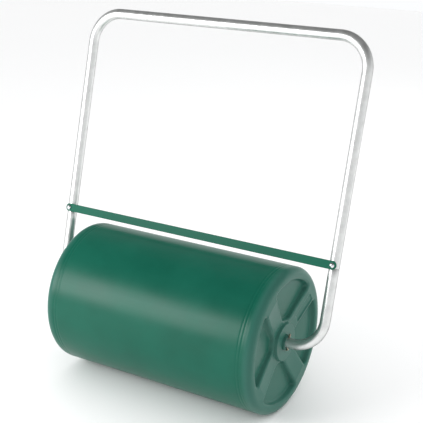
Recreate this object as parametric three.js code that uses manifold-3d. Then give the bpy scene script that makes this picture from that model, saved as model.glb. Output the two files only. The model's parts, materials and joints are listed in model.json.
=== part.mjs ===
// A walk-behind lawn roller: a hollow plastic drum, filled with water through a screwed plug in one
// end, turns on the inward ends of a tubular handle. The handle is a U-shaped upper tube, a lower
// arm on each side and a flat cross bar, which two bolts clamp together.
// Millimetres, +Z up. X runs along the axle, +Y is the side that the handle leans to, and the
// origin is on the ground, under the middle of the drum.
import * as THREE from 'three';
import { mergeVertices } from 'three/addons/utils/BufferGeometryUtils.js';
import Module from 'manifold-3d';

const wasm = await Module();
wasm.setup();

// ---------- Driving dimensions ----------

const GAP = 0.3; // between faces that touch on the real roller
const OVERRUN = 5; // how far a cutting form runs past the face that it cuts
const OVERLAP = 1; // how far two forms run into each other where they are joined
const ROUND_SIDES = 32;
const SMALL_SIDES = 24;
const HOLE_SIDES = 16;

// Drum
const DRUM_RADIUS = 160;
const DRUM_SIDES = 60;
const DRUM_HALF_LENGTH = 260; // at the rim
const CAVITY_SIDES = 40;
const DRUM_WALL = 4.5;
const SHOULDER_RADIUS = 15; // rounds the barrel into the end
const DISH_RADIUS = 124; // the end is dished inside this radius
const DISH_DEPTH = 9; // how far the dish's middle lies inside the rim
const AXLE_HEIGHT = DRUM_RADIUS * Math.cos(Math.PI / DRUM_SIDES); // the lowest flat is on the ground

// Hub: a low round boss in the middle of each end, with a blind socket for the axle
const HUB_RADIUS = 40.5;
const HUB_FACE = 258;
const HUB_EDGE = 2.5;
const SOCKET_RADIUS = 14.4;
const SOCKET_DEPTH = 52;

// Four pockets in each end leave a raised cross of four spokes, which widen outwards
const SPOKE_ANGLE = THREE.MathUtils.degToRad(34);
const SPOKE_HALF_WIDTH = 21; // from the axle to the line of a pocket's wall
const SPOKE_FLARE = THREE.MathUtils.degToRad(1.7);
const POCKET = {
  inner: 46,
  outer: 135,
  corner: 12,
  floor: 243.5, // X of the floor at its inner edge
  slope: THREE.MathUtils.degToRad(1), // the floor rises outwards with the dish
  draft: 6,
  fillet: 8,
};

// Blank sunk panel on one spoke, a little off its middle
const PANEL = { start: 64, length: 62, width: 20, depth: 1.6, offset: -6.5 };

// Filler neck, in the pocket nearest the top of the left end
const NECK = { distance: 85, angle: SPOKE_ANGLE + Math.PI / 4, radius: 24, face: 246, bore: 16, length: 14 };

// Bushes, thrust washers and split pins on the axle
const BUSH = { outer: 14, inner: 11.4, length: 44, flangeRadius: 17, flange: 2, chamfer: 0.6 };
const THRUST_WASHER = { outer: 15.5, inner: 11.4, thickness: 1.5 };
const PIN = {
  radius: 1.5,
  split: 0.12, // half the slit between the wire's two halves
  hole: 1.9,
  rise: 1, // how far the wire runs straight past the tube
  eye: 2.5,
  neck: 5,
  bend: 2.4,
  spread: THREE.MathUtils.degToRad(72),
  tail: 4,
};

// Handle, in the plane that leans back from the axle
const HANDLE_LEAN = THREE.MathUtils.degToRad(15.2);
const HANDLE_HALF_WIDTH = 336.5; // to the tube's centre line
const HANDLE_HEIGHT = 634.5; // from the axle to the top tube's centre line
const TUBE_RADIUS = 11;
const TUBE_WALL = 1.5;
const TUBE_SIDES = 20;
const TOP_BEND = 67;
const LOW_BEND = 63;
const BEND_STEPS = 9;
const AXLE_END = 212; // X where the tube ends inside the drum

// Joint between the upper tube and the arms, behind the cross bar
const BAR_HEIGHT = 181.3; // along the handle, from the axle
const SEAM = BAR_HEIGHT - 7;
const SPIGOT = { radius: 9.05, wall: 1.5, length: 45, cone: 2, root: 3 };

// Cross bar, bolts, washers and lock nuts
const BAR = { thickness: 3, width: 17.7 };
const BOLT = {
  shank: 2.95,
  hole: 3.3,
  headRadius: 5.6,
  headHeight: 3.9,
  length: 35,
  chamfer: 0.8,
  slot: { length: 4.6, width: 1.1, depth: 1.8 }, // one arm of the cross recess
};
const WASHER = { outer: 6, inner: 3.3, thickness: 1.6 };
const NUT = { acrossFlats: 10, height: 4.4, crown: 1.8, crownRadius: 4.75, insertRadius: 4.3 };

// Filler plug and its seal
const PLUG = { shank: 15.4, bore: 12.2, shankLength: 12, head: 21.5, headHeight: 6.5 };
const PLUG_FLUTE = { count: 12, radius: 2.2, centre: 22.1 };
const PLUG_GRIP = { length: 34, width: 7, height: 4.2 };
const SEAL = { inner: 16.2, outer: 20.5, thickness: 2.4 };

// ---------- Materials ----------

const finish = (color, roughness, metalness) =>
  new THREE.MeshStandardMaterial({ color, roughness, metalness });

const drumPlastic = finish(0x1b6b56, 0.38, 0);
const barPaint = finish(0x00694c, 0.4, 0.1);
const galvanised = finish(0xd4d8d6, 0.32, 0.9);
const zincPlate = finish(0xe2e5e6, 0.25, 0.95);
const pinSteel = finish(0x8b8272, 0.4, 0.85);
const bushPlastic = finish(0x39534b, 0.5, 0);
const plugPlastic = finish(0x16181a, 0.5, 0);
const sealRubber = finish(0x1c1c1e, 0.8, 0);

// ---------- Booleans and basic forms ----------

// A solid that manifold-3d can cut and join, from any closed geometry.
function solid(geometry) {
  geometry.deleteAttribute('normal');
  geometry.deleteAttribute('uv');
  const merged = mergeVertices(geometry, 1e-4);
  const vertProperties = new Float32Array(merged.attributes.position.array);
  const triVerts = new Uint32Array(merged.index.array);
  return new wasm.Manifold(new wasm.Mesh({ numProp: 3, vertProperties, triVerts }));
}

function geometryOf(body) {
  const mesh = body.getMesh();
  const geometry = new THREE.BufferGeometry();
  geometry.setAttribute('position', new THREE.BufferAttribute(mesh.vertProperties, 3));
  geometry.setIndex(new THREE.BufferAttribute(mesh.triVerts, 1));
  geometry.computeVertexNormals();
  return geometry;
}

function named(name, geometry, material) {
  const mesh = new THREE.Mesh(geometry, material);
  mesh.name = name;
  return mesh;
}

// Turns a profile of [x, radius] points round the X axis.
function turned(profile, sides) {
  const points = profile.map(([x, radius]) => new THREE.Vector2(radius, x));
  const geometry = new THREE.LatheGeometry(points, sides, Math.PI / sides);
  return geometry.rotateZ(-Math.PI / 2);
}

function rod(radius, from, to, sides) {
  return turned([[from, 0], [from, radius], [to, radius], [to, 0]], sides);
}

function ring(inner, outer, from, to, sides) {
  return turned([[from, inner], [from, outer], [to, outer], [to, inner], [from, inner]], sides);
}

// Points round an arc in the plane of X and Z.
function arcPoints(x, z, radius, start, end, steps) {
  const points = [];
  for (let i = 0; i <= steps; i += 1) {
    const angle = start + ((end - start) * i) / steps;
    points.push(new THREE.Vector3(x + radius * Math.cos(angle), 0, z + radius * Math.sin(angle)));
  }
  return points;
}

// A path through given stations, so that straight stretches take one step each.
class StationPath extends THREE.Curve {
  constructor(points) {
    super();
    this.points = points;
  }

  getPointAt(u) {
    return this.points[Math.round(u * (this.points.length - 1))].clone();
  }

  getTangentAt(u) {
    const last = this.points.length - 1;
    const i = Math.round(u * last);
    const before = this.points[Math.max(i - 1, 0)];
    const here = this.points[i];
    const after = this.points[Math.min(i + 1, last)];
    const inward = here.clone().sub(before).normalize();
    const outward = after.clone().sub(here).normalize();
    return inward.add(outward).normalize();
  }
}

function sweep(section, points, curveSegments) {
  const extrudePath = new StationPath(points);
  const steps = points.length - 1;
  return new THREE.ExtrudeGeometry(section, { extrudePath, steps, curveSegments });
}

function roundBar(radius, points) {
  const section = new THREE.Shape().absarc(0, 0, radius, 0, 2 * Math.PI);
  return solid(sweep(section, points, TUBE_SIDES / 2));
}

// ---------- Drum ----------

const dishAt = (radius) =>
  DRUM_HALF_LENGTH - DISH_DEPTH + DISH_DEPTH * Math.min(radius / DISH_RADIUS, 1) ** 2;

// One end from the hub to the barrel, moved inwards by the wall for the inner face.
function endProfile(wall, dishSteps, shoulderSteps) {
  const profile = [];
  for (let i = 0; i <= dishSteps; i += 1) {
    const radius = HUB_RADIUS + HUB_EDGE + ((DISH_RADIUS - HUB_RADIUS - HUB_EDGE) * i) / dishSteps;
    profile.push([dishAt(radius) - wall, radius]);
  }
  const centreX = DRUM_HALF_LENGTH - SHOULDER_RADIUS;
  const centreRadius = DRUM_RADIUS - SHOULDER_RADIUS;
  for (let i = 0; i <= shoulderSteps; i += 1) {
    const angle = (Math.PI / 2) * (i / shoulderSteps);
    const reach = SHOULDER_RADIUS - wall;
    profile.push([centreX + reach * Math.cos(angle), centreRadius + reach * Math.sin(angle)]);
  }
  return profile;
}

// A closed form turned from one end's profile and its mirror image.
function turnedBothWays(right, sides) {
  const left = right.map(([x, radius]) => [-x, radius]);
  return solid(turned([...left, ...right.reverse()], sides));
}

function drumOuter() {
  return turnedBothWays([[HUB_FACE, 0], [HUB_FACE, HUB_RADIUS], ...endProfile(0, 2, 4)], DRUM_SIDES);
}

function drumInner() {
  return turnedBothWays([[dishAt(0) - DRUM_WALL, 0], ...endProfile(DRUM_WALL, 1, 2)], CAVITY_SIDES);
}

// Angle between a pocket's middle and its corner at the given radius.
const pocketSpread = (radius) => Math.PI / 4 - SPOKE_FLARE - Math.asin(SPOKE_HALF_WIDTH / radius);

const polar = (radius, angle) => new THREE.Vector2(radius * Math.cos(angle), radius * Math.sin(angle));

function pocketOutline() {
  const { inner, outer, corner } = POCKET;
  const innerSpread = pocketSpread(inner);
  const outerSpread = pocketSpread(outer);
  const innerTurn = Math.min(corner / inner, innerSpread / 2);
  const outerTurn = corner / outer;
  const corners = [polar(inner, -innerSpread), polar(outer, -outerSpread)];
  const along = corners[1].clone().sub(corners[0]).normalize().multiplyScalar(corner);
  const start = corners[0].clone().add(along);
  const stop = corners[1].clone().sub(along);
  const afterStop = polar(outer, outerTurn - outerSpread);
  const shape = new THREE.Shape();
  shape.moveTo(start.x, start.y);
  shape.lineTo(stop.x, stop.y);
  shape.quadraticCurveTo(corners[1].x, corners[1].y, afterStop.x, afterStop.y);
  shape.absarc(0, 0, outer, outerTurn - outerSpread, outerSpread - outerTurn);
  shape.quadraticCurveTo(corners[1].x, -corners[1].y, stop.x, -stop.y);
  shape.lineTo(start.x, -start.y);
  const beforeInner = polar(inner, innerSpread - innerTurn);
  shape.quadraticCurveTo(corners[0].x, -corners[0].y, beforeInner.x, beforeInner.y);
  shape.absarc(0, 0, inner, innerSpread - innerTurn, innerTurn - innerSpread, true);
  shape.quadraticCurveTo(corners[0].x, corners[0].y, start.x, start.y);
  return shape;
}

// Lays a form drawn in the plane of an end (x outwards from the axle, y across, z along the axle)
// at an angle round the right end, or turned half round the vertical for the left end.
function onEnd(geometry, angle, left) {
  const radial = new THREE.Vector3(0, Math.cos(angle), Math.sin(angle));
  const across = new THREE.Vector3(0, -Math.sin(angle), Math.cos(angle));
  const along = new THREE.Vector3(1, 0, 0);
  geometry.applyMatrix4(new THREE.Matrix4().makeBasis(radial, across, along));
  return left ? geometry.rotateZ(Math.PI) : geometry;
}

// The space of one pocket, grown by the wall to give the pocket's inner skin.
function pocketSpace(quarter, left, grow) {
  const { draft, fillet, floor, slope, inner } = POCKET;
  const geometry = new THREE.ExtrudeGeometry(pocketOutline(), {
    depth: DRUM_HALF_LENGTH - floor + OVERRUN,
    curveSegments: 2,
    bevelEnabled: true,
    bevelThickness: fillet,
    bevelSize: draft,
    bevelOffset: grow - draft,
    bevelSegments: 1,
  });
  geometry.rotateY(-slope);
  geometry.translate(0, 0, floor - inner * Math.tan(slope) + fillet - grow);
  const angle = SPOKE_ANGLE + Math.PI / 4 + (quarter * Math.PI) / 2;
  return solid(onEnd(geometry, angle, left));
}

function panelSpace() {
  const { start, length, width, depth, offset } = PANEL;
  const rise = Math.atan2(dishAt(start + length) - dishAt(start), length);
  const geometry = new THREE.BoxGeometry(length, width, depth + OVERRUN);
  geometry.translate(length / 2, offset, (OVERRUN - depth) / 2);
  geometry.rotateY(-rise);
  geometry.translate(start, 0, dishAt(start));
  return solid(onEnd(geometry, SPOKE_ANGLE, false));
}

function onNeck(geometry) {
  const { distance, angle } = NECK;
  const y = -distance * Math.cos(angle);
  const z = distance * Math.sin(angle);
  return geometry.translate(0, y, z);
}

function drumShell() {
  let body = drumOuter();
  let cavity = drumInner();
  for (const left of [false, true]) {
    for (let quarter = 0; quarter < 4; quarter += 1) {
      body = body.subtract(pocketSpace(quarter, left, 0));
      cavity = cavity.subtract(pocketSpace(quarter, left, DRUM_WALL));
    }
    const side = left ? -1 : 1;
    const bottom = HUB_FACE - SOCKET_DEPTH;
    const sleeve = [side * (bottom - DRUM_WALL), side * HUB_FACE].sort((a, b) => a - b);
    const socket = [side * bottom, side * (HUB_FACE + OVERRUN)].sort((a, b) => a - b);
    cavity = cavity.subtract(solid(rod(SOCKET_RADIUS + DRUM_WALL, ...sleeve, ROUND_SIDES)));
    body = body.subtract(solid(rod(SOCKET_RADIUS, ...socket, ROUND_SIDES)));
  }
  const neckEnd = NECK.length - NECK.face;
  const neckRod = (radius, from, to) => solid(onNeck(rod(radius, from, to, ROUND_SIDES)));
  body = body.add(neckRod(NECK.radius, -NECK.face, neckEnd));
  cavity = cavity.subtract(neckRod(NECK.bore + DRUM_WALL, -NECK.face, neckEnd));
  body = body.subtract(panelSpace()).subtract(cavity);
  body = body.subtract(neckRod(NECK.bore, -NECK.face - OVERRUN, neckEnd + OVERRUN));
  return geometryOf(body).translate(0, 0, AXLE_HEIGHT);
}

function hubBush(side) {
  const { outer, inner, length, flangeRadius, flange, chamfer } = BUSH;
  const face = HUB_FACE + GAP;
  const profile = [
    [face - length, inner],
    [face - length, outer],
    [face, outer],
    [face, flangeRadius],
    [face + flange - chamfer, flangeRadius],
    [face + flange, flangeRadius - chamfer],
    [face + flange, inner],
    [face - length, inner],
  ];
  const geometry = turned(profile, ROUND_SIDES);
  if (side < 0) {
    geometry.rotateZ(Math.PI);
  }
  return geometry.translate(0, 0, AXLE_HEIGHT);
}

// ---------- Filler plug ----------

function fillerPlug() {
  const { shank, bore, shankLength, head, headHeight } = PLUG;
  const underHead = -NECK.face - SEAL.thickness - 2 * GAP;
  const top = underHead - headHeight;
  const shankEnd = underHead + SEAL.thickness + shankLength;
  let body = solid(rod(head, top, underHead, PLUG_FLUTE.count * 4));
  body = body.add(solid(rod(shank, underHead - OVERLAP, shankEnd, ROUND_SIDES)));
  body = body.subtract(solid(rod(bore, underHead + OVERLAP, shankEnd + OVERRUN, ROUND_SIDES)));
  for (let i = 0; i < PLUG_FLUTE.count; i += 1) {
    const flute = rod(PLUG_FLUTE.radius, top - OVERRUN, underHead + OVERRUN, HOLE_SIDES);
    const at = polar(PLUG_FLUTE.centre, (2 * Math.PI * (i + 0.5)) / PLUG_FLUTE.count);
    body = body.subtract(solid(flute.translate(0, at.x, at.y)));
  }
  const grip = new THREE.BoxGeometry(PLUG_GRIP.height + OVERLAP, PLUG_GRIP.width, PLUG_GRIP.length);
  grip.translate(top + (OVERLAP - PLUG_GRIP.height) / 2, 0, 0);
  body = body.add(solid(grip));
  return onNeck(geometryOf(body)).translate(0, 0, AXLE_HEIGHT);
}

function plugSeal() {
  const from = -NECK.face - GAP - SEAL.thickness;
  const geometry = ring(SEAL.inner, SEAL.outer, from, from + SEAL.thickness, ROUND_SIDES);
  return onNeck(geometry).translate(0, 0, AXLE_HEIGHT);
}

// ---------- Handle, drawn upright with the axle at z = 0 ----------

// A rod along Y, through the tube and the bar at one bolt.
function throughBolt(side) {
  const geometry = rod(BOLT.hole, -BOLT.length, BOLT.length, HOLE_SIDES).rotateZ(Math.PI / 2);
  return solid(geometry.translate(side * HANDLE_HALF_WIDTH, 0, BAR_HEIGHT));
}

function upperTube() {
  const top = HANDLE_HEIGHT - TOP_BEND;
  const reach = HANDLE_HALF_WIDTH - TOP_BEND;
  const path = (end) => [
    new THREE.Vector3(HANDLE_HALF_WIDTH, 0, end),
    ...arcPoints(reach, top, TOP_BEND, 0, Math.PI / 2, BEND_STEPS),
    ...arcPoints(-reach, top, TOP_BEND, Math.PI / 2, Math.PI, BEND_STEPS),
    new THREE.Vector3(-HANDLE_HALF_WIDTH, 0, end),
  ];
  let tube = roundBar(TUBE_RADIUS, path(SEAM + GAP));
  tube = tube.subtract(roundBar(TUBE_RADIUS - TUBE_WALL, path(SEAM - OVERRUN)));
  for (const side of [-1, 1]) {
    tube = tube.subtract(throughBolt(side));
  }
  return geometryOf(tube);
}

// The lower arm turns inwards to become the axle; its top is drawn down to fit in the upper tube.
function lowerArm(side) {
  const { radius, wall, length, cone, root } = SPIGOT;
  const path = (axleEnd, top) => [
    new THREE.Vector3(axleEnd, 0, 0),
    ...arcPoints(HANDLE_HALF_WIDTH - LOW_BEND, LOW_BEND, LOW_BEND, -Math.PI / 2, 0, BEND_STEPS),
    new THREE.Vector3(HANDLE_HALF_WIDTH, 0, top),
  ];
  const neck = [
    [SEAM - cone - root, 0],
    [SEAM - cone - root, TUBE_RADIUS - TUBE_WALL / 2],
    [SEAM - cone, TUBE_RADIUS - GAP],
    [SEAM, radius],
    [SEAM + length, radius],
    [SEAM + length, 0],
  ];
  const upright = (geometry) => geometry.rotateY(-Math.PI / 2).translate(HANDLE_HALF_WIDTH, 0, 0);
  const spigotBore = rod(radius - wall, SEAM - cone - OVERRUN, SEAM + length + OVERRUN, TUBE_SIDES);
  let tube = roundBar(TUBE_RADIUS, path(AXLE_END, SEAM - cone));
  tube = tube.add(solid(upright(turned(neck, TUBE_SIDES))));
  tube = tube.subtract(roundBar(TUBE_RADIUS - TUBE_WALL, path(AXLE_END - OVERRUN, SEAM - cone - OVERLAP)));
  tube = tube.subtract(solid(upright(spigotBore)));
  const pinHole = rod(PIN.hole, -2 * TUBE_RADIUS, 2 * TUBE_RADIUS, HOLE_SIDES).rotateY(Math.PI / 2);
  tube = tube.subtract(solid(pinHole.translate(PIN_X, 0, 0)));
  tube = tube.subtract(throughBolt(1));
  const geometry = geometryOf(tube);
  return side < 0 ? geometry.rotateZ(Math.PI) : geometry;
}

function crossBar() {
  const { thickness, width } = BAR;
  const outline = new THREE.Shape();
  outline.absarc(HANDLE_HALF_WIDTH, 0, width / 2, -Math.PI / 2, Math.PI / 2);
  outline.absarc(-HANDLE_HALF_WIDTH, 0, width / 2, Math.PI / 2, (3 * Math.PI) / 2);
  for (const side of [-1, 1]) {
    const hole = new THREE.Path().absarc(side * HANDLE_HALF_WIDTH, 0, BOLT.hole, 0, 2 * Math.PI, true);
    outline.holes.push(hole);
  }
  const options = { depth: thickness, bevelEnabled: false, curveSegments: 8 };
  const geometry = new THREE.ExtrudeGeometry(outline, options).rotateX(Math.PI / 2);
  return geometry.translate(0, -TUBE_RADIUS - GAP, BAR_HEIGHT);
}

// ---------- Fasteners ----------

// Puts a piece drawn along X on a bolt's centre line, pointing backwards.
function onBolt(geometry, side) {
  return geometry.rotateZ(Math.PI / 2).translate(side * HANDLE_HALF_WIDTH, 0, BAR_HEIGHT);
}

function panBolt(side) {
  const { shank, headRadius, headHeight, length, chamfer, slot } = BOLT;
  const under = -TUBE_RADIUS - BAR.thickness - 2 * GAP;
  const profile = [[under - headHeight, 0]];
  for (let i = 0; i <= 4; i += 1) {
    const angle = Math.PI / 12 + ((Math.PI / 2 - Math.PI / 12) * i) / 4;
    profile.push([under - headHeight * Math.cos(angle), headRadius * Math.sin(angle)]);
  }
  profile.push([under, shank], [under + length - chamfer, shank]);
  profile.push([under + length, shank - chamfer], [under + length, 0]);
  let body = solid(turned(profile, SMALL_SIDES));
  for (const turn of [0, Math.PI / 2]) {
    const cut = new THREE.BoxGeometry(2 * slot.depth, slot.length, slot.width).rotateX(turn);
    body = body.subtract(solid(cut.translate(under - headHeight, 0, 0)));
  }
  return onBolt(geometryOf(body), side);
}

function flatWasher(side) {
  const from = TUBE_RADIUS + GAP;
  return onBolt(ring(WASHER.inner, WASHER.outer, from, from + WASHER.thickness, SMALL_SIDES), side);
}

const NUT_FACE = TUBE_RADIUS + WASHER.thickness + 2 * GAP;

function lockNut(side) {
  const { acrossFlats, height, crown, crownRadius, insertRadius } = NUT;
  const corner = acrossFlats / 2 / Math.cos(Math.PI / 6);
  const top = NUT_FACE + height;
  let body = solid(rod(corner, NUT_FACE, top, 6));
  body = body.add(solid(rod(crownRadius, top - OVERLAP, top + crown, SMALL_SIDES)));
  body = body.subtract(solid(rod(WASHER.inner, NUT_FACE - OVERRUN, top + OVERRUN, HOLE_SIDES)));
  body = body.subtract(solid(rod(insertRadius, top, top + OVERRUN, SMALL_SIDES)));
  return onBolt(geometryOf(body), side);
}

function nutInsert(side) {
  const from = NUT_FACE + NUT.height + GAP;
  const outer = NUT.insertRadius - GAP;
  return onBolt(ring(WASHER.inner, outer, from, from + NUT.crown - 2 * GAP, SMALL_SIDES), side);
}

const WASHER_FACE = HUB_FACE + BUSH.flange + 2 * GAP;
const PIN_X = WASHER_FACE + THRUST_WASHER.thickness + GAP + PIN.radius + PIN.split;

function thrustWasher(side) {
  const { outer, inner, thickness } = THRUST_WASHER;
  const geometry = ring(inner, outer, WASHER_FACE, WASHER_FACE + thickness, ROUND_SIDES);
  return side < 0 ? geometry.rotateZ(Math.PI) : geometry;
}

// Half-round wire folded into an eye above the tube, with its two tails bent apart below.
function splitPin(side) {
  const { radius, split, rise, eye, neck, bend, spread, tail } = PIN;
  const shoulder = TUBE_RADIUS + rise;
  const heel = -shoulder;
  const centre = shoulder + neck;
  const opening = Math.asin(eye / neck);
  const half = [new THREE.Vector3(0, 0, shoulder), new THREE.Vector3(0, 0, heel)];
  half.push(...arcPoints(bend, heel, bend, Math.PI, Math.PI + spread, 4).slice(1));
  const end = half[half.length - 1];
  const onward = new THREE.Vector3(Math.sin(spread), 0, -Math.cos(spread));
  half.push(end.clone().addScaledVector(onward, tail));
  const right = half.map((point) => point.clone().setX(point.x + split));
  const left = half.map((point) => point.clone().setX(-point.x - split));
  const loop = arcPoints(0, centre, eye, -opening, Math.PI + opening, 12);
  const section = new THREE.Shape().absarc(0, 0, radius, 0, Math.PI);
  const geometry = sweep(section, [...right.reverse(), ...loop, ...left], 4);
  return geometry.rotateZ(Math.PI / 2).translate(side * PIN_X, 0, 0);
}

// ---------- Assembly ----------

const roller = new THREE.Group();
roller.add(named('drum_shell', drumShell(), drumPlastic));
roller.add(named('filler_plug', fillerPlug(), plugPlastic));
roller.add(named('plug_seal', plugSeal(), sealRubber));

const handle = new THREE.Group();
handle.rotation.x = -HANDLE_LEAN;
handle.position.z = AXLE_HEIGHT;
handle.add(named('upper_handle', upperTube(), galvanised));
handle.add(named('cross_bar', crossBar(), barPaint));
roller.add(handle);

for (const [label, side] of [['left', -1], ['right', 1]]) {
  roller.add(named(`hub_bush_${label}`, hubBush(side), bushPlastic));
  handle.add(named(`lower_arm_${label}`, lowerArm(side), galvanised));
  handle.add(named(`thrust_washer_${label}`, thrustWasher(side), bushPlastic));
  handle.add(named(`split_pin_${label}`, splitPin(side), pinSteel));
  handle.add(named(`bar_bolt_${label}`, panBolt(side), zincPlate));
  handle.add(named(`bar_washer_${label}`, flatWasher(side), zincPlate));
  handle.add(named(`lock_nut_${label}`, lockNut(side), zincPlate));
  handle.add(named(`nut_insert_${label}`, nutInsert(side), bushPlastic));
}

export default roller;
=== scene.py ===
"""A lawn roller: a water-filled plastic drum on a leaning tubular handle, in a plain studio."""

import json
import math

import bpy
import numpy as np
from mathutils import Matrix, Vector

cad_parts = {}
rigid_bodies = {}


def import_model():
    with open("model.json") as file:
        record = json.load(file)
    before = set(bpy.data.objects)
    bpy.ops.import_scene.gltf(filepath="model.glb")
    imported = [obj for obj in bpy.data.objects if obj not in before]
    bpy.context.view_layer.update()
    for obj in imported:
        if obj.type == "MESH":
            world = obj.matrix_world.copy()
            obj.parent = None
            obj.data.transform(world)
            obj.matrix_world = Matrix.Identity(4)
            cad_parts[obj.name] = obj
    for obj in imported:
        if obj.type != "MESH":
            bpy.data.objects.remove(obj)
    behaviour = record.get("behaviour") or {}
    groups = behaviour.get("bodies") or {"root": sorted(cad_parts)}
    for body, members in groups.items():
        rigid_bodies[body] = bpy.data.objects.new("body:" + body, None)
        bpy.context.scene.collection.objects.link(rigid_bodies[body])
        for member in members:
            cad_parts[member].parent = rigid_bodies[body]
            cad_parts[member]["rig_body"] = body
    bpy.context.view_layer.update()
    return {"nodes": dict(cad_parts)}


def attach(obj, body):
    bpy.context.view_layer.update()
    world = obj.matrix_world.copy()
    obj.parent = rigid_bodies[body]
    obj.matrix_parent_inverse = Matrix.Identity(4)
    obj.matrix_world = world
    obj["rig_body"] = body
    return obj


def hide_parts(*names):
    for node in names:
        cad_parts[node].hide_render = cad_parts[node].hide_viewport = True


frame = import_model()

# ---------- Driving dimensions, in millimetres as in the CAD ----------

MM = 0.001
AXLE_HEIGHT = 160 * math.cos(math.pi / 60)

DRUM_RADIUS = 159.8
HALF_LENGTH = 260.0
SHOULDER = 15.0
DISH_RADIUS = 124.0
DISH_DEPTH = 9.0
WALL = 4.5
RIDGES = (228.0, 235.0)
RIDGE_HEIGHT = 0.45
RIDGE_SPREAD = 1.6
HUB_RADIUS = 40.5
HUB_FOOT = 2.6
HUB_EDGE = 3.2
HUB_FACE = 258.0
SOCKET_RADIUS = 14.4
SOCKET_DEPTH = 52.0

SPOKE_ANGLE = math.radians(34)
SPOKE_HALF_WIDTH = 21.0
SPOKE_FLARE = math.radians(1.7)
POCKET_INNER = 46.0
POCKET_OUTER = 135.0
POCKET_FLOOR = 243.5
POCKET_SLOPE = math.tan(math.radians(4.2))
POCKET_CORNER = 9.0
POCKET_WALL = 6.5
POCKET_EDGE = 1.4
POCKET_FALL = 2.5
POCKET_REACH = 4.0

PANEL_START = 64.0
PANEL_LENGTH = 62.0
PANEL_WIDTH = 20.0
PANEL_DEPTH = 2.2
PANEL_OFFSET = -6.5
PANEL_CORNER = 1.5
PANEL_EDGE = 1.3

NECK_DISTANCE = 85.0
NECK_ANGLE = SPOKE_ANGLE + math.pi / 4
NECK_RADIUS = 24.0
NECK_FACE = 246.0
NECK_BORE = 16.0
NECK_LENGTH = 14.0
NECK_Y = -NECK_DISTANCE * math.cos(NECK_ANGLE)
NECK_Z = NECK_DISTANCE * math.sin(NECK_ANGLE) + AXLE_HEIGHT

LEAN = math.radians(15.2)
HALF_WIDTH = 336.5
HANDLE_HEIGHT = 634.5
TUBE_RADIUS = 11.0
TOP_BEND = 67.0
LOW_BEND = 63.0
AXLE_END = 212.0
BAR_HEIGHT = 181.3
SEAM = BAR_HEIGHT - 7
SPIGOT_RADIUS = 9.05
SPIGOT_LENGTH = 45.0
SPIGOT_CONE = 2.0
GAP = 0.3
BAR_THICKNESS = 3.0
BAR_WIDTH = 17.7
BAR_ROLL = 0.45

BUSH_BORE = 11.4
BUSH_RADIUS = 14.0
BUSH_LENGTH = 44.0
FLANGE_RADIUS = 17.0
FLANGE_THICKNESS = 2.0
THRUST_RADIUS = 15.5
THRUST_THICKNESS = 1.5
THRUST_FACE = HUB_FACE + FLANGE_THICKNESS + 2 * GAP

PIN_RADIUS = 1.5
PIN_SPLIT = 0.12
PIN_EYE = 2.5
PIN_NECK = 5.0
PIN_BEND = 2.4
PIN_TAIL = 4.0
PIN_SPREAD = math.radians(72)
PIN_X = THRUST_FACE + THRUST_THICKNESS + GAP + PIN_RADIUS + PIN_SPLIT

BOLT_HOLE = 3.3
BOLT_HEAD_RADIUS = 5.6
BOLT_HEAD_HEIGHT = 3.9
BOLT_LENGTH = 35.0
BOLT_PLAIN = 16.0
BOLT_SHANK_RADIUS = 2.9
BOLT_THREAD_RADIUS = 2.95
BOLT_RECESS = 2.3
BOLT_UNDER = -TUBE_RADIUS - BAR_THICKNESS - 2 * GAP
WASHER_RADIUS = 6.0
WASHER_THICKNESS = 1.6
NUT_FACE = TUBE_RADIUS + WASHER_THICKNESS + 2 * GAP
NUT_WIDTH = 10.0
NUT_HEIGHT = 4.4
INSERT_RADIUS = 3.9

SEAL_BORE = 16.2
SEAL_RADIUS = 20.5
SEAL_THICKNESS = 2.4
PLUG_HEAD_RADIUS = 21.5
PLUG_HEAD_HEIGHT = 6.5
PLUG_SHANK = 12.0
PLUG_FLUTES = 12
PLUG_FLUTE_DEPTH = 0.05
PLUG_THREAD_RADIUS = 15.4
PLUG_THREAD_PITCH = 5.0
PLUG_THREAD_DEPTH = 1.1
PLUG_BORE = 12.2
GRIP_REACH = 13.5
GRIP_HALF_WIDTH = 3.5

# ---------- Mesh helpers ----------


def new_object(name, vertices, faces, smooth_angle=35):
    """An object from points in millimetres, smooth except across edges sharper than the angle."""
    mesh = bpy.data.meshes.new(name)
    mesh.from_pydata([tuple(v) for v in np.asarray(vertices, float) * MM], [], faces)
    mesh.validate()
    mesh.update()
    mesh.shade_smooth()
    mesh.set_sharp_from_angle(angle=math.radians(smooth_angle))
    obj = bpy.data.objects.new(name, mesh)
    bpy.context.scene.collection.objects.link(obj)
    return obj


def ring_faces(rows, columns, closed_rows=False):
    """Quads between rows of points, each row a closed ring."""
    faces = []
    last = rows if closed_rows else rows - 1
    for i in range(last):
        a = i * columns
        b = ((i + 1) % rows) * columns
        for j in range(columns):
            k = (j + 1) % columns
            faces.append((a + j, a + k, b + k, b + j))
    return faces


def turned(profile, segments=64):
    """Points and faces of a profile of (x, radius) turned round X. A profile that starts and ends
    on the axis gets a point at each end; any other closes on itself."""
    profile = np.asarray(profile, float)
    on_axis = profile[0, 1] < 1e-9
    body = profile[1:-1] if on_axis else profile
    angles = np.arange(segments) * 2 * math.pi / segments
    rows = [
        np.c_[np.full(segments, x), -r * np.sin(angles), r * np.cos(angles)] for x, r in body
    ]
    points = np.concatenate(rows)
    faces = ring_faces(len(body), segments, closed_rows=not on_axis)
    if on_axis:
        first, last = len(points), len(points) + 1
        points = np.r_[points, [[profile[0, 0], 0, 0]], [[profile[-1, 0], 0, 0]]]
        end = (len(body) - 1) * segments
        for j in range(segments):
            k = (j + 1) % segments
            faces.append((first, k, j))
            faces.append((last, end + j, end + k))
    return points, faces


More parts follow.
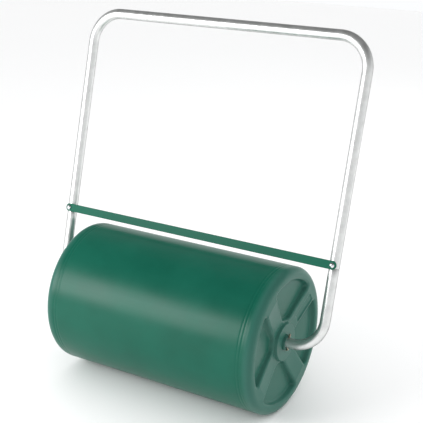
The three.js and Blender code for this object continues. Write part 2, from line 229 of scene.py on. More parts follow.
def rounded(profile, radius, steps=4):
    """A profile with each listed corner rounded; a corner is (x, r) or (x, r, own radius)."""
    result = []
    count = len(profile)
    for i, corner in enumerate(profile):
        here = np.array(corner[:2], float)
        before = np.array(profile[i - 1][:2], float)
        after = np.array(profile[(i + 1) % count][:2], float)
        own = corner[2] if len(corner) > 2 else radius
        if own <= 0:
            result.append(here)
            continue
        to_before = before - here
        to_after = after - here
        cut = min(own, np.linalg.norm(to_before) / 2.05, np.linalg.norm(to_after) / 2.05)
        start = here + to_before / np.linalg.norm(to_before) * cut
        end = here + to_after / np.linalg.norm(to_after) * cut
        for t in np.linspace(0, 1, steps + 1):
            result.append((1 - t) ** 2 * start + 2 * t * (1 - t) * here + t * t * end)
    return result


def arc(centre, radius, start, end, steps):
    """Points (x, z) round an arc, angles in radians."""
    angles = np.linspace(start, end, steps + 1)
    return [(centre[0] + radius * math.cos(a), centre[1] + radius * math.sin(a)) for a in angles]


def sweep(path, sections, flat_axis=(0, 1, 0)):
    """A closed skin through sections placed along a flat path of (x, z) points. A section is a
    list of (across, out of the plane) points, one for every point of the path."""
    path = np.array([(x, 0, z) for x, z in path], float)
    axis = np.array(flat_axis, float)
    columns = len(sections[0])
    rows = []
    for i, point in enumerate(path):
        before = path[max(i - 1, 0)]
        after = path[min(i + 1, len(path) - 1)]
        inward = point - before
        outward = after - point
        inward = inward / max(np.linalg.norm(inward), 1e-12)
        outward = outward / max(np.linalg.norm(outward), 1e-12)
        tangent = inward + outward
        tangent /= np.linalg.norm(tangent)
        across = np.cross(tangent, axis)
        section = np.asarray(sections[i], float)
        rows.append(point + section[:, :1] * across + section[:, 1:] * axis)
    points = np.concatenate(rows)
    faces = ring_faces(len(path), columns)
    faces.append(tuple(range(columns)))
    faces.append(tuple(reversed(range((len(path) - 1) * columns, len(path) * columns))))
    return points, faces


def stacked(rows):
    """Points and faces of a closed form with flat ends, from rings of points in order."""
    columns = len(rows[0])
    points = np.concatenate([np.array(row, float) for row in rows])
    faces = [tuple(reversed(face)) for face in ring_faces(len(rows), columns)]
    faces.append(tuple(range(columns)))
    faces.append(tuple(reversed(range((len(rows) - 1) * columns, len(rows) * columns))))
    return points, faces


def circle(radius, segments=48):
    angles = np.arange(segments) * 2 * math.pi / segments
    return [(radius * math.cos(a), radius * math.sin(a)) for a in angles]


def spaced(path, longest):
    """The path with its long stretches divided, so that its faces stay well shaped."""
    result = [path[0]]
    for a, b in zip(path, path[1:]):
        length = math.dist(a, b)
        count = max(1, math.ceil(length / longest))
        for i in range(1, count + 1):
            result.append((a[0] + (b[0] - a[0]) * i / count, a[1] + (b[1] - a[1]) * i / count))
    return result


def bar_of(path, radius, segments=48):
    return sweep(path, [circle(radius, segments)] * len(path))


def placed(points, move=(0, 0, 0), turn_z=0.0, turn_x=0.0):
    """Points turned about Z, then about X, then moved, in millimetres."""
    c, s = math.cos(turn_z), math.sin(turn_z)
    about_z = np.array([[c, -s, 0], [s, c, 0], [0, 0, 1]])
    c, s = math.cos(turn_x), math.sin(turn_x)
    about_x = np.array([[1, 0, 0], [0, c, -s], [0, s, c]])
    return np.asarray(points, float) @ about_z.T @ about_x.T + np.array(move, float)


def on_handle(points):
    """From the upright handle, with the axle at z = 0, to the leaning one."""
    return placed(points, move=(0, 0, AXLE_HEIGHT), turn_x=-LEAN)


def boolean(obj, operation, points, faces):
    """Cuts or joins a closed form into the object, and discards the form."""
    tool = new_object("tool", points, faces)
    modifier = obj.modifiers.new("boolean", "BOOLEAN")
    modifier.operation = operation
    modifier.solver = "MANIFOLD"
    modifier.object = tool
    graph = bpy.context.evaluated_depsgraph_get()
    mesh = bpy.data.meshes.new_from_object(obj.evaluated_get(graph))
    obj.modifiers.clear()
    old = obj.data
    obj.data = mesh
    bpy.data.meshes.remove(old)
    bpy.data.objects.remove(tool)
    if not mesh.polygons:
        raise RuntimeError(f"the boolean emptied {obj.name}")


def finish_shading(obj, angle=35):
    obj.data.shade_smooth()
    obj.data.set_sharp_from_angle(angle=math.radians(angle))


def piece(obj, node, material):
    """Hands a finished mesh its material and the CAD node that it stands for."""
    obj.name = f"{node}_skin"
    obj.data.name = obj.name
    obj.data.materials.clear()
    obj.data.materials.append(material)
    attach(obj, frame["nodes"][node]["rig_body"])
    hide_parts(node)
    return obj


# ---------- Materials ----------


class Nodes:
    """A small helper for building a material's node tree."""

    def __init__(self, name):
        self.material = bpy.data.materials.new(name)
        self.material.use_nodes = True
        self.tree = self.material.node_tree
        self.shader = self.tree.nodes["Principled BSDF"]
        self.coordinates = self.add("ShaderNodeTexCoord").outputs["Object"]

    def add(self, kind, **values):
        node = self.tree.nodes.new(kind)
        for key, value in values.items():
            if hasattr(node, key):
                setattr(node, key, value)
            else:
                node.inputs[key.replace("_", " ")].default_value = value
        return node

    def link(self, source, target):
        self.tree.links.new(source, target)

    def set(self, **values):
        for key, value in values.items():
            self.shader.inputs[key.replace("_", " ")].default_value = value

    def stretched(self, scale):
        mapping = self.add("ShaderNodeMapping")
        mapping.inputs["Scale"].default_value = scale
        self.link(self.coordinates, mapping.inputs["Vector"])
        return mapping.outputs["Vector"]

    def noise(self, scale, detail=3.0, roughness=0.55, vector=None, distortion=0.0):
        node = self.add("ShaderNodeTexNoise")
        node.inputs["Scale"].default_value = scale
        node.inputs["Detail"].default_value = detail
        node.inputs["Roughness"].default_value = roughness
        node.inputs["Distortion"].default_value = distortion
        self.link(vector or self.coordinates, node.inputs["Vector"])
        return node.outputs["Fac"]

    def span(self, value, low, high, start=0.0, end=1.0):
        node = self.add("ShaderNodeMapRange")
        node.inputs["From Min"].default_value = start
        node.inputs["From Max"].default_value = end
        node.inputs["To Min"].default_value = low
        node.inputs["To Max"].default_value = high
        self.link(value, node.inputs["Value"])
        return node.outputs["Result"]

    def mix(self, factor, first, second):
        node = self.add("ShaderNodeMix", data_type="RGBA")
        self.link(factor, node.inputs["Factor"])
        for socket, value in ((node.inputs[6], first), (node.inputs[7], second)):
            if isinstance(value, tuple):
                socket.default_value = (*value, 1.0)
            else:
                self.link(value, socket)
        return node.outputs[2]

    def bump(self, layers):
        """Bumps in turn, each (height, strength, distance in millimetres)."""
        normal = None
        for height, strength, distance in layers:
            node = self.add("ShaderNodeBump")
            node.inputs["Strength"].default_value = strength
            node.inputs["Distance"].default_value = distance * MM
            self.link(height, node.inputs["Height"])
            if normal is not None:
                self.link(normal, node.inputs["Normal"])
            normal = node.outputs["Normal"]
        self.link(normal, self.shader.inputs["Normal"])


def drum_plastic():
    """Blow-moulded polyethylene: a satin barrel with a faint orange peel and dusty scuffs, and ends
    painted a paler grey-green as a painted sheen of reflected light.
    """
    n = Nodes("drum_plastic")
    cloud = n.noise(9, 4, 0.6)
    fine = n.noise(420, 2)
    peel = n.noise(70, 2)
    scuff = n.noise(6, 8, 0.75, n.stretched((0.25, 3, 3)))
    base = n.mix(n.span(cloud, 0, 1, 0.35, 0.65), (0.0008, 0.084, 0.052), (0.0014, 0.099, 0.062))
    dusty = n.mix(n.span(scuff, 0, 0.10, 0.56, 0.72), base, (0.05, 0.16, 0.12))
    # Painted sheen: the ends are painted a paler grey-green by distance along the axle, standing in for
    # the bright floor's reflection seen at a grazing angle.
    axes = n.add("ShaderNodeSeparateXYZ")
    n.link(n.coordinates, axes.inputs[0])
    distance = n.add("ShaderNodeMath", operation="ABSOLUTE")
    n.link(axes.outputs["X"], distance.inputs[0])
    end = n.span(distance.outputs[0], 0, 1, 238 * MM, 250 * MM)
    n.link(n.mix(end, dusty, (0.026, 0.122, 0.092)), n.shader.inputs["Base Color"])
    n.link(n.span(cloud, 0.30, 0.37, 0.3, 0.7), n.shader.inputs["Roughness"])
    n.set(IOR=1.5, Specular_IOR_Level=0.25)
    n.bump([(peel, 0.10, 0.12), (fine, 0.12, 0.03)])
    return n.material


def bar_paint():
    n = Nodes("bar_paint")
    cloud = n.noise(14, 3)
    peel = n.noise(900, 2)
    n.link(n.mix(cloud, (0.0008, 0.098, 0.058), (0.0015, 0.112, 0.068)), n.shader.inputs["Base Color"])
    n.link(n.span(cloud, 0.30, 0.40), n.shader.inputs["Roughness"])
    n.set(IOR=1.5, Specular_IOR_Level=0.15)
    n.bump([(peel, 0.25, 0.03)])
    return n.material


def steel(name, dark, light, low, high, grain=(1, 1, 1), scale=60, metallic=1.0,
          edge=(1.0, 1.0, 1.0)):
    """Plated steel whose tone and roughness drift, with fine drawn marks."""
    n = Nodes(name)
    cloud = n.noise(scale, 4, 0.6)
    marks = n.noise(500, 4, 0.6, n.stretched(grain))
    n.link(n.mix(n.span(cloud, 0, 1, 0.35, 0.65), dark, light), n.shader.inputs["Base Color"])
    n.link(n.span(cloud, low, high, 0.3, 0.7), n.shader.inputs["Roughness"])
    n.set(Metallic=metallic, Specular_Tint=(*edge, 1.0))
    n.bump([(marks, 0.12, 0.03), (n.noise(1500, 2), 0.10, 0.01)])
    return n.material


def plain_plastic(name, dark, light, roughness):
    n = Nodes(name)
    cloud = n.noise(90, 4)
    fine = n.noise(1400, 2)
    n.link(n.mix(cloud, dark, light), n.shader.inputs["Base Color"])
    n.link(n.span(cloud, roughness - 0.05, roughness + 0.08), n.shader.inputs["Roughness"])
    n.bump([(fine, 0.25, 0.03)])
    return n.material


drum_green = drum_plastic()
bar_green = bar_paint()
galvanised = steel("galvanised_tube", (0.70, 0.71, 0.70), (0.82, 0.83, 0.82), 0.27, 0.37,
                   metallic=0.88, edge=(0.0, 0.0, 0.0))
zinc = steel("zinc_plate", (0.74, 0.77, 0.80), (0.86, 0.88, 0.90), 0.20, 0.30, scale=200)
pin_metal = steel("pin_steel", (0.38, 0.30, 0.22), (0.62, 0.54, 0.42), 0.32, 0.45, scale=300)
# The bush and thrust washer take the drum ends' paler grey-green, so they carry the same painted sheen
# instead of the plastic's own darker green.
bush_nylon_sheen = plain_plastic("bush_plastic", (0.026, 0.125, 0.094), (0.030, 0.135, 0.104), 0.5)
plug_black = plain_plastic("plug_plastic", (0.010, 0.011, 0.012), (0.018, 0.019, 0.020), 0.45)
seal_black = plain_plastic("seal_rubber", (0.010, 0.010, 0.010), (0.016, 0.016, 0.017), 0.75)
nylon_pale = plain_plastic("nut_nylon", (0.52, 0.55, 0.60), (0.62, 0.64, 0.68), 0.45)

# ---------- Drum ----------


def smoothstep(t):
    t = np.clip(t, 0, 1)
    return t * t * (3 - 2 * t)


def rounded_meet(distances, corner):
    """Signed distance to where several regions overlap, with round corners; negative inside."""
    distances = np.stack(distances)
    over = np.maximum(distances + corner, 0)
    return np.minimum(distances.max(0), -corner) + np.sqrt((over**2).sum(0))


def pocket_distance(radius, angle, grow=0.0):
    """Signed distance to the nearest of an end's four pockets."""
    local = (angle - SPOKE_ANGLE) % (math.pi / 2) - math.pi / 4
    u = radius * np.cos(local)
    v = np.abs(radius * np.sin(local))
    tilt = math.pi / 4 - SPOKE_FLARE
    wall = v * math.cos(tilt) - u * math.sin(tilt) + SPOKE_HALF_WIDTH
    sides = [wall, radius - POCKET_OUTER, POCKET_INNER - radius]
    return rounded_meet(sides, POCKET_CORNER) - grow, u


def end_height(radius, angle, side, wall=0.0):
    """X of an end's skin over a point, before the left end is turned half round."""
    dish = HALF_LENGTH - DISH_DEPTH * (1 - np.minimum(radius / DISH_RADIUS, 1) ** 2)
    reach = SHOULDER - wall
    over = np.clip(radius - (DRUM_RADIUS - SHOULDER), 0, reach)
    skin = dish - SHOULDER + np.sqrt(np.maximum(SHOULDER**2 - over**2, 0))
    hub = smoothstep((HUB_RADIUS + HUB_FOOT - radius) / HUB_EDGE)
    skin = skin * (1 - hub) + HUB_FACE * hub
    distance, u = pocket_distance(radius, angle, wall)
    floor = POCKET_FLOOR + POCKET_SLOPE * (u - POCKET_INNER)
    inside = (np.hypot(distance, POCKET_EDGE) - distance) / 2 / POCKET_WALL
    sunk = 1 - np.maximum(1 - inside, 0) ** POCKET_FALL
    skin = skin - np.where(distance < POCKET_REACH, sunk, 0) * np.maximum(skin - floor, 0)
    if side > 0 and wall == 0:
        along = radius * np.cos(angle - SPOKE_ANGLE) - PANEL_START - PANEL_LENGTH / 2
        across = radius * np.sin(angle - SPOKE_ANGLE) - PANEL_OFFSET
        sides = [np.abs(along) - PANEL_LENGTH / 2, np.abs(across) - PANEL_WIDTH / 2]
        outside = rounded_meet(sides, PANEL_CORNER)
        skin = skin - PANEL_DEPTH * smoothstep((0.5 - outside) / PANEL_EDGE)
    return skin - wall


def ridge_height(x):
    """How far the faint rings near the barrel's ends dip at this place along the axle."""
    return sum(RIDGE_HEIGHT * math.exp(-(((abs(x) - at) / RIDGE_SPREAD) ** 2)) for at in RIDGES)


def drum_skin(columns, radii, shoulder_steps, barrel_steps, wall=0.0):
    """Points and faces of the drum's outer or inner skin."""
    angles = np.arange(columns) * 2 * math.pi / columns
    centre = DRUM_RADIUS - SHOULDER
    reach = SHOULDER - wall
    start = math.asin((radii[-1] - centre) / reach) if radii[-1] > centre else 0.0
    rows = []
    for side in (1, -1):
        end = []
        own_angles = angles if side > 0 else math.pi - angles
        for radius in radii:
            x = end_height(np.full(columns, float(radius)), own_angles, side, wall)
            end.append((side * x, np.full(columns, float(radius))))
        for i in range(1, shoulder_steps + 1):
            bend = start + (math.pi / 2 - start) * i / shoulder_steps
            x = HALF_LENGTH - SHOULDER + reach * math.cos(bend)
            radius = centre + reach * math.sin(bend)
            end.append((np.full(columns, side * x), np.full(columns, radius)))
        rows.append(end)
    barrel = []
    straight = HALF_LENGTH - SHOULDER
    stations = set(np.linspace(-straight, straight, barrel_steps + 1)[1:-1])
    if wall == 0:
        ridged = np.arange(straight - 22, straight - 1, 1.0)
        stations |= {side * x for side in (-1, 1) for x in ridged}
    for x in sorted(stations, reverse=True):
        radius = DRUM_RADIUS - (wall or ridge_height(x))
        barrel.append((np.full(columns, x), np.full(columns, radius)))
    rings = rows[0] + barrel + rows[1][::-1]
    points = [
        np.c_[x, radius * np.cos(angles), radius * np.sin(angles)] for x, radius in rings
    ]
    count = len(points)
    points = np.concatenate(points)
    faces = [tuple(reversed(f)) for f in ring_faces(count, columns)]
    for row, side in ((0, 1), (count - 1, -1)):
        pole = len(points)
        points = np.r_[points, [[points[row * columns][0], 0, 0]]]
        for j in range(columns):
            k = (j + 1) % columns
            a, b = row * columns + j, row * columns + k
            faces.append((pole, a, b) if side > 0 else (pole, b, a))
    points[:, 2] += AXLE_HEIGHT
    return points, faces


def rod(radius, start, end, segments=64):
    return turned([(start, 0), (start, radius), (end, radius), (end, 0)], segments)


def moved(form, y=0.0, z=0.0):
    points, faces = form
    return points + np.array([0, y, z]), faces


def make_drum():
    """The outer skin less the hollow, both with the hubs' sockets and the filler's neck. The
    rings lie closest together where the hub's edge and the pockets' walls are."""
    clear = 20
    rings = [6, 12, 18, 24, 30, 35, 38]
    rings += list(np.arange(39, 60, 1.0)) + list(np.arange(61.5, 122, 2.2))
    rings += list(np.arange(123, 144.5, 1.1))
    drum = new_object("drum", *drum_skin(480, rings, 9, 14))
    inner_rings = [10, 30, 44, 54, 66, 80, 95, 110, 124, 132, 138, 144]
    core = new_object("core", *drum_skin(96, inner_rings, 4, 8, WALL))
    for side in (-1, 1):
        ends = sorted((side * (HUB_FACE - SOCKET_DEPTH - WALL), side * (HUB_FACE + clear)))
        boolean(core, "DIFFERENCE", *moved(rod(SOCKET_RADIUS + WALL, *ends), z=AXLE_HEIGHT))
        ends = sorted((side * (HUB_FACE - SOCKET_DEPTH), side * (HUB_FACE + clear)))
        boolean(drum, "DIFFERENCE", *moved(rod(SOCKET_RADIUS, *ends), z=AXLE_HEIGHT))
    face, inner_end = -NECK_FACE, NECK_LENGTH - NECK_FACE
    sleeve = rod(NECK_BORE + WALL, face - clear, inner_end)
    boolean(core, "DIFFERENCE", *moved(sleeve, NECK_Y, NECK_Z))
    seat = rod(NECK_RADIUS + 3, face - clear, face + 1.5, 96)
    boolean(drum, "DIFFERENCE", *moved(seat, NECK_Y, NECK_Z))
    boss = [(face, 0, 0), (face, NECK_RADIUS, 1.2)]
    boss += [(face + clear, NECK_RADIUS + 1, 0), (face + clear, 0, 0)]
    boolean(drum, "UNION", *moved(turned(rounded(boss, 0), 96), NECK_Y, NECK_Z))
    hollow = np.array([v.co for v in core.data.vertices]) / MM
    hollow_faces = [tuple(p.vertices) for p in core.data.polygons]
    boolean(drum, "DIFFERENCE", hollow, hollow_faces)
    bore = rod(NECK_BORE, face - clear, inner_end + 12)
    boolean(drum, "DIFFERENCE", *moved(bore, NECK_Y, NECK_Z))
    bpy.data.objects.remove(core)
    finish_shading(drum, 60)
    return piece(drum, "drum_shell", drum_green)


def make_bush(side, label):
    face = HUB_FACE + GAP
    profile = [
        (face - BUSH_LENGTH, BUSH_BORE, 0.4),
        (face - BUSH_LENGTH, BUSH_RADIUS, 0.5),
        (face, BUSH_RADIUS, 0.2),
        (face, FLANGE_RADIUS, 0.3),
        (face + FLANGE_THICKNESS, FLANGE_RADIUS, 0.9),
        (face + FLANGE_THICKNESS, BUSH_BORE, 0.5),
    ]
    points, faces = turned(rounded(profile, 0.3), 96)
    points = placed(points, (0, 0, AXLE_HEIGHT), turn_z=math.pi if side < 0 else 0)
    bush = new_object("bush", points, faces)
    return piece(bush, f"hub_bush_{label}", bush_nylon_sheen)


# ---------- Handle ----------


def bolt_hole(side):
    points, faces = rod(BOLT_HOLE, -30, 30, 32)
    points = placed(points, turn_z=math.pi / 2) + np.array([side * HALF_WIDTH, 0, BAR_HEIGHT])
    return on_handle(points), faces


def make_upper_handle():
    """The U-shaped tube, drawn solid: its bore and bolt holes are in the CAD model only."""
    top = HANDLE_HEIGHT - TOP_BEND
    reach = HALF_WIDTH - TOP_BEND
    route = [(HALF_WIDTH, SEAM + GAP)]
    route += arc((reach, top), TOP_BEND, 0, math.pi / 2, 28)
    route += arc((-reach, top), TOP_BEND, math.pi / 2, math.pi, 28)
    route.append((-HALF_WIDTH, SEAM + GAP))
    points, faces = bar_of(spaced(route, 25), TUBE_RADIUS)
    tube = new_object("tube", on_handle(points), faces)
    return piece(tube, "upper_handle", galvanised)


def make_lower_arm(side, label):
    """The tube from the axle's end up to its spigot, drawn solid like the upper handle."""
    route = [(AXLE_END, 0)]
    route += arc((HALF_WIDTH - LOW_BEND, LOW_BEND), LOW_BEND, -math.pi / 2, 0, 28)
    route.append((HALF_WIDTH, SEAM - SPIGOT_CONE))
    route = spaced(route, 20)
    sections = [circle(TUBE_RADIUS)] * len(route)
    route += [(HALF_WIDTH, height) for height in (SEAM - SPIGOT_CONE / 2, SEAM, SEAM + SPIGOT_LENGTH)]
    sections += [circle(TUBE_RADIUS - 0.7), circle(SPIGOT_RADIUS), circle(SPIGOT_RADIUS)]
    points, faces = sweep(route, sections)
    points = on_handle(placed(points, turn_z=math.pi if side < 0 else 0))
    arm = new_object("arm", points, faces)
    return piece(arm, f"lower_arm_{label}", galvanised)


def make_cross_bar():
    """A flat strip with round ends and slightly rolled edges, drilled for the bolts."""
    half = BAR_WIDTH / 2
    back = -BAR_THICKNESS
    layers = [(back, BAR_ROLL), (BAR_ROLL + back, 0), (-BAR_ROLL, 0), (0, BAR_ROLL)]
    rows = []
    for depth, inset in layers:
        outline = arc((HALF_WIDTH, 0), half - inset, -math.pi / 2, math.pi / 2, 24)
        outline += arc((-HALF_WIDTH, 0), half - inset, math.pi / 2, 3 * math.pi / 2, 24)
        rows.append([(x, depth, z) for x, z in spaced(outline + outline[:1], 40)[:-1]])
    points, faces = stacked(rows)
    points += np.array([0, -TUBE_RADIUS - GAP, BAR_HEIGHT])
    bar = new_object("bar", on_handle(points), faces)
    for side in (-1, 1):
        boolean(bar, "DIFFERENCE", *bolt_hole(side))
    finish_shading(bar, 30)
    return piece(bar, "cross_bar", bar_green)


# ---------- Fasteners ----------


def on_bolt(points, side):
    """From a piece drawn along X to its place on a bolt's centre line, pointing backwards."""
    points = placed(points, turn_z=math.pi / 2) + np.array([side * HALF_WIDTH, 0, BAR_HEIGHT])
    return on_handle(points)


def threaded_rod(start, end, radius, pitch, depth, segments=24, per_turn=12):
    """A rod with a true helical thread; start and end are along X."""
    count = int((end - start) / pitch * per_turn)
    angles = np.arange(segments) * 2 * math.pi / segments
    rows = []
    for i in range(count + 1):
        x = start + (end - start) * i / count
        phase = (x / pitch - angles / (2 * math.pi)) % 1
        groove = depth * (1 - np.abs(2 * phase - 1)) * min(1, i / 3, (count - i) / 6)
        r = radius - groove - 0.5 * max(0, 1 - (count - i) / 4)
        rows.append(np.c_[np.full(segments, x), -r * np.sin(angles), r * np.cos(angles)])
    points = np.concatenate(rows)
    faces = ring_faces(len(rows), segments)
    faces.append(tuple(reversed(range(segments))))
    faces.append(tuple(range((len(rows) - 1) * segments, len(rows) * segments)))
    return points, faces


def make_bolt(side, label):
    """A domed head over a plain shank, a threaded end, and a cross recess of two thin blades."""
    top = BOLT_UNDER - BOLT_HEAD_HEIGHT
    profile = [(top, 0)]
    for i in range(9):
        angle = math.radians(10 + 80 * i / 8)
        across = BOLT_HEAD_RADIUS * math.sin(angle)
        profile.append((BOLT_UNDER - BOLT_HEAD_HEIGHT * math.cos(angle), across))
    plain_end = BOLT_UNDER + BOLT_PLAIN
    profile += [(BOLT_UNDER, BOLT_SHANK_RADIUS), (plain_end, BOLT_SHANK_RADIUS), (plain_end, 0)]
    points, faces = turned(profile, 48)
    bolt = new_object("bolt", on_bolt(points, side), faces)
    end = BOLT_UNDER + BOLT_LENGTH
    points, faces = threaded_rod(plain_end - 1, end, BOLT_THREAD_RADIUS, 1.0, 0.55)
    boolean(bolt, "UNION", on_bolt(points, side), faces)
    blade, faces = rod(BOLT_RECESS * math.sqrt(2), top - 1, top + 1.7, 4)
    for turn in (math.pi / 4, 3 * math.pi / 4):
        points = placed(blade * np.array([1, 1, 0.2]), turn_x=turn)
        boolean(bolt, "DIFFERENCE", on_bolt(points, side), faces)
    finish_shading(bolt, 30)
    return piece(bolt, f"bar_bolt_{label}", zinc)


def ring(start, thickness, bore, radius, edge, segments, steps=4):
    """A flat ring along X with its corners rounded."""
    end = start + thickness
    profile = [(start, bore), (start, radius), (end, radius), (end, bore)]
    return turned(rounded(profile, edge, steps), segments)


def make_washer(side, label):
    form = ring(TUBE_RADIUS + GAP, WASHER_THICKNESS, BOLT_HOLE, WASHER_RADIUS, 0.3, 48)
    washer = new_object("washer", on_bolt(form[0], side), form[1])
    return piece(washer, f"bar_washer_{label}", zinc)


def make_lock_nut(side, label):
    """A hexagon with its corners turned down to a cone, and the round collar that holds the
    nylon ring."""
    flat = NUT_WIDTH / 2
    corner = flat / math.cos(math.pi / 6)
    top = NUT_FACE + NUT_HEIGHT
    points, faces = rod(corner, NUT_FACE, top, 6)
    nut = new_object("nut", on_bolt(points, side), faces)
    blank = [(NUT_FACE - 0.01, 0), (NUT_FACE - 0.01, flat), (NUT_FACE + 0.5, corner + 0.1)]
    blank += [(top - 0.5, corner + 0.1), (top + 0.01, flat), (top + 0.01, 0)]
    points, faces = turned(blank, 64)
    boolean(nut, "INTERSECT", on_bolt(points, side), faces)
    collar = [(top - 1, 0), (top - 1, 4.75), (top + 1.2, 4.75), (top + 1.8, 4.3), (top + 1.8, 0)]
    points, faces = turned(collar, 48)
    boolean(nut, "UNION", on_bolt(points, side), faces)
    points, faces = rod(BOLT_HOLE, NUT_FACE - 1, top + 3, 32)
    boolean(nut, "DIFFERENCE", on_bolt(points, side), faces)
    points, faces = rod(INSERT_RADIUS + 0.1, top + 0.3, top + 3, 48)
    boolean(nut, "DIFFERENCE", on_bolt(points, side), faces)
    finish_shading(nut, 25)
    piece(nut, f"lock_nut_{label}", zinc)
    points, faces = ring(top + 0.35, 1.2, BOLT_HOLE - 0.1, INSERT_RADIUS, 0.2, 48)
    insert = new_object("insert", on_bolt(points, side), faces)
    return piece(insert, f"nut_insert_{label}", nylon_pale)


def make_thrust_washer(side, label):
    points, faces = ring(THRUST_FACE, THRUST_THICKNESS, BUSH_BORE, THRUST_RADIUS, 0.4, 96)
    points = placed(points, turn_z=math.pi if side < 0 else 0)
    washer = new_object("thrust", on_handle(points), faces)
    return piece(washer, f"thrust_washer_{label}", bush_nylon_sheen)


def make_split_pin(side, label):
    """Half-round wire folded into an eye above the tube, with its tails bent apart below."""
    shoulder = TUBE_RADIUS + 1
    heel = -shoulder
    spread = math.asin(PIN_EYE / PIN_NECK)
    half = [(0, shoulder)] + [(0, z) for z in np.linspace(shoulder - 4, heel, 5)]
    half += arc((PIN_BEND, heel), PIN_BEND, math.pi, math.pi + PIN_SPREAD, 8)[1:]
    x, z = half[-1]
    half.append((x + PIN_TAIL * math.sin(PIN_SPREAD), z - PIN_TAIL * math.cos(PIN_SPREAD)))
    right = [(x + PIN_SPLIT, z) for x, z in half]
    left = [(-x - PIN_SPLIT, z) for x, z in half]
    loop = arc((0, shoulder + PIN_NECK), PIN_EYE, -spread, math.pi + spread, 28)
    path = right[::-1] + loop + left
    turns = np.linspace(0, math.pi, 11)
    section = [(PIN_RADIUS * math.sin(a), PIN_RADIUS * math.cos(a)) for a in turns]
    points, faces = sweep(path, [section] * len(path))
    points = placed(points, turn_z=math.pi / 2) + np.array([side * PIN_X, 0, 0])
    pin = new_object("pin", on_handle(points), faces, 50)
    return piece(pin, f"split_pin_{label}", pin_metal)


# ---------- Filler plug ----------


def make_plug():
    """A fluted head with a bar grip across it, over a hollow threaded shank."""
    under = -NECK_FACE - SEAL_THICKNESS - 2 * GAP
    top = under - PLUG_HEAD_HEIGHT
    shank_end = under + SEAL_THICKNESS + PLUG_SHANK
    head = [(top, 0, 0), (top, PLUG_HEAD_RADIUS, 1.4), (under, PLUG_HEAD_RADIUS, 0.5), (under, 0, 0)]
    points, faces = turned(rounded(head, 0), 144)
    radius = np.hypot(points[:, 1], points[:, 2])
    angle = np.arctan2(points[:, 2], points[:, 1])
    flute = (0.5 + 0.5 * np.cos(PLUG_FLUTES * angle)) ** 2 * (radius > PLUG_HEAD_RADIUS - 3.5)
    points[:, 1:] *= (1 - PLUG_FLUTE_DEPTH * flute)[:, None]
    plug = new_object("plug", *moved((points, faces), NECK_Y, NECK_Z))
    size = (PLUG_THREAD_RADIUS, PLUG_THREAD_PITCH, PLUG_THREAD_DEPTH)
    thread = threaded_rod(under - 1, shank_end, *size, 96, 24)
    boolean(plug, "UNION", *moved(thread, NECK_Y, NECK_Z))
    boolean(plug, "DIFFERENCE", *moved(rod(PLUG_BORE, under + 1, shank_end + 2), NECK_Y, NECK_Z))
    grip = []
    for depth, inset in ((0.5, 0), (-3.0, 0.3), (-3.9, 0.8), (-4.2, 1.6)):
        radius = GRIP_HALF_WIDTH - inset
        outline = arc((0, GRIP_REACH), radius, 0, math.pi, 12)
        outline += arc((0, -GRIP_REACH), radius, math.pi, 2 * math.pi, 12)
        grip.append([(top + depth, y, z) for y, z in outline])
    boolean(plug, "UNION", *moved(stacked(grip), NECK_Y, NECK_Z))
    finish_shading(plug, 35)
    return piece(plug, "filler_plug", plug_black)


def make_seal():
    form = ring(-NECK_FACE - GAP - SEAL_THICKNESS, SEAL_THICKNESS, SEAL_BORE, SEAL_RADIUS, 1.0, 96, 6)
    seal = new_object("seal", *moved(form, NECK_Y, NECK_Z))
    return piece(seal, "plug_seal", seal_black)


# ---------- Studio ----------

FLOOR_HALF_WIDTH = 6000
CAMERA_PLACE = (1094.6, -1699.8, 935.2 + AXLE_HEIGHT)
CAMERA_TILT = 68.13
CAMERA_TURN = 32.79
CAMERA_LENS = 85.36
CAMERA_SENSOR = 36
CAMERA_SHIFT = (0.07, 0.12)


def floor_material():
    n = Nodes("floor")
    n.link(n.mix(n.noise(0.4, 2), (0.93, 0.93, 0.93), (0.96, 0.96, 0.96)), n.shader.inputs["Base Color"])
    n.set(Roughness=0.6, Specular_IOR_Level=0.2)
    return n.material


def make_floor():
    size = FLOOR_HALF_WIDTH
    points = [(-size, -size, 0), (size, -size, 0), (size, size, 0), (-size, size, 0)]
    floor = new_object("floor", points, [(0, 1, 2, 3)])
    floor.data.materials.append(floor_material())


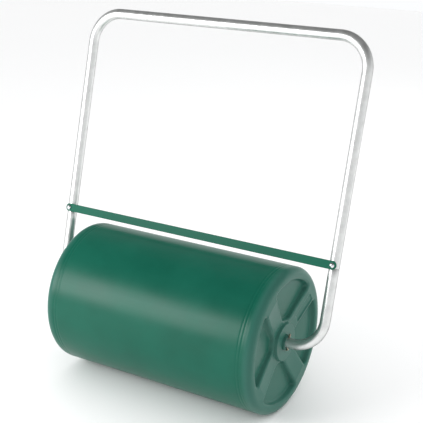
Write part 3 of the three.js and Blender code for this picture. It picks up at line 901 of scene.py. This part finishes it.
def make_studio():
    """A world that is bright near the horizon and dim overhead, and plain white to the camera,
    with a softbox on each side."""
    make_floor()
    world = bpy.data.worlds.new("studio")
    bpy.context.scene.world = world
    world.use_nodes = True
    nodes, links = world.node_tree.nodes, world.node_tree.links
    seen = nodes.new("ShaderNodeLightPath").outputs["Is Camera Ray"]
    direction = nodes.new("ShaderNodeTexCoord").outputs["Generated"]
    axes = nodes.new("ShaderNodeSeparateXYZ")
    links.new(direction, axes.inputs[0])
    ramp = nodes.new("ShaderNodeMapRange")
    ramp.inputs["From Min"].default_value = 0.1
    ramp.inputs["From Max"].default_value = 0.75
    ramp.inputs["To Min"].default_value = 0.9
    ramp.inputs["To Max"].default_value = 0.1
    links.new(axes.outputs["Z"], ramp.inputs["Value"])
    strength = nodes.new("ShaderNodeMath")
    strength.operation = "MAXIMUM"
    links.new(seen, strength.inputs[0])
    links.new(ramp.outputs["Result"], strength.inputs[1])
    backdrop = nodes["Background"]
    backdrop.inputs["Color"].default_value = (0.98, 0.99, 1.0, 1)
    links.new(strength.outputs[0], backdrop.inputs["Strength"])
    add_softbox("key", (-1250, -1750, 1050), (1300, 1100), 32)
    right = add_softbox("right", (1500, 2300, 500), (2600, 1300), 26)
    right.visible_glossy = False
    add_overhead(2.5)


def add_overhead(strength):
    """An even, very soft light from above, for the floor and the tops of the plastic."""
    light = bpy.data.lights.new("overhead", "SUN")
    light.energy = strength
    light.angle = math.radians(150)
    obj = bpy.data.objects.new("overhead", light)
    obj.rotation_euler = (math.radians(-12), math.radians(-8), 0)
    obj.visible_glossy = False
    bpy.context.scene.collection.objects.link(obj)


def add_softbox(name, place, size, power, target=(0, 0, 200)):
    light = bpy.data.lights.new(name, "AREA")
    light.shape = "RECTANGLE"
    light.size, light.size_y = size[0] * MM, size[1] * MM
    light.energy = power
    obj = bpy.data.objects.new(name, light)
    obj.location = Vector(place) * MM
    aim = Vector(target) * MM - obj.location
    obj.rotation_euler = aim.to_track_quat("-Z", "Y").to_euler()
    bpy.context.scene.collection.objects.link(obj)
    return obj


def make_camera():
    data = bpy.data.cameras.new("camera")
    data.sensor_width = CAMERA_SENSOR
    data.lens = CAMERA_LENS
    data.shift_x, data.shift_y = CAMERA_SHIFT
    camera = bpy.data.objects.new("camera", data)
    camera.location = Vector(CAMERA_PLACE) * MM
    camera.rotation_euler = (math.radians(CAMERA_TILT), 0, math.radians(CAMERA_TURN))
    bpy.context.scene.collection.objects.link(camera)
    bpy.context.scene.camera = camera


make_camera()
make_studio()
make_drum()
make_upper_handle()
make_cross_bar()
make_plug()
make_seal()
for side, label in ((-1, "left"), (1, "right")):
    make_bush(side, label)
    make_lower_arm(side, label)
    make_thrust_washer(side, label)
    make_split_pin(side, label)
    make_bolt(side, label)
    make_washer(side, label)
    make_lock_nut(side, label)
bpy.context.scene.view_settings.view_transform = "Standard"

bpy.context.view_layer.update()
